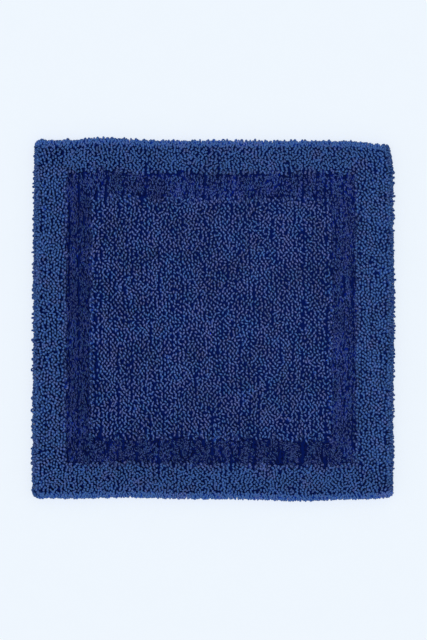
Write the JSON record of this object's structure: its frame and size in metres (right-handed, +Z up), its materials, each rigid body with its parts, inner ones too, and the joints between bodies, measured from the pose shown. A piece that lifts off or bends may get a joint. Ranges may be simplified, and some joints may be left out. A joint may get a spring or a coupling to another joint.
{
  "type": "bath mat",
  "caption": "Square tufted cotton bath mat with a loop-pile centre and border, a recessed cut-pile band between them, turned hems and an anti-slip latex back.",
  "frame": {"origin": "centre of the underside, on the floor that the mat lies on", "axes": "+Z up out of the pile; +X to the right and +Y to the top edge of the mat as seen from above, with the label near the bottom edge"},
  "size_m": [0.5, 0.5, 0.0168],
  "materials": {
    "loop_pile": "blue cotton boucle loops, matt",
    "cut_pile": "blue sheared cotton tufts, matt, darker",
    "ground_cloth": "navy plain-woven cotton, matt",
    "latex": "natural cream latex coat, satin",
    "thread": "blue polyester sewing thread, slight sheen",
    "label": "white satin tape, blank"
  },
  "bodies": {
    "root": {"ground_cloth": "ground_cloth", "latex_backing": "latex", "centre_loop_pile": "loop_pile", "cut_band_left": "cut_pile", "cut_band_bottom": "cut_pile", "cut_band_right": "cut_pile", "cut_band_top": "cut_pile", "loop_border_left": "loop_pile", "loop_border_bottom": "loop_pile", "loop_border_right": "loop_pile", "loop_border_top": "loop_pile", "hem_left": "ground_cloth", "hem_bottom": "ground_cloth", "hem_right": "ground_cloth", "hem_top": "ground_cloth", "hem_stitching_left": "thread", "hem_stitching_bottom": "thread", "hem_stitching_right": "thread", "hem_stitching_top": "thread", "care_label": "label"}
  },
  "joints": []
}
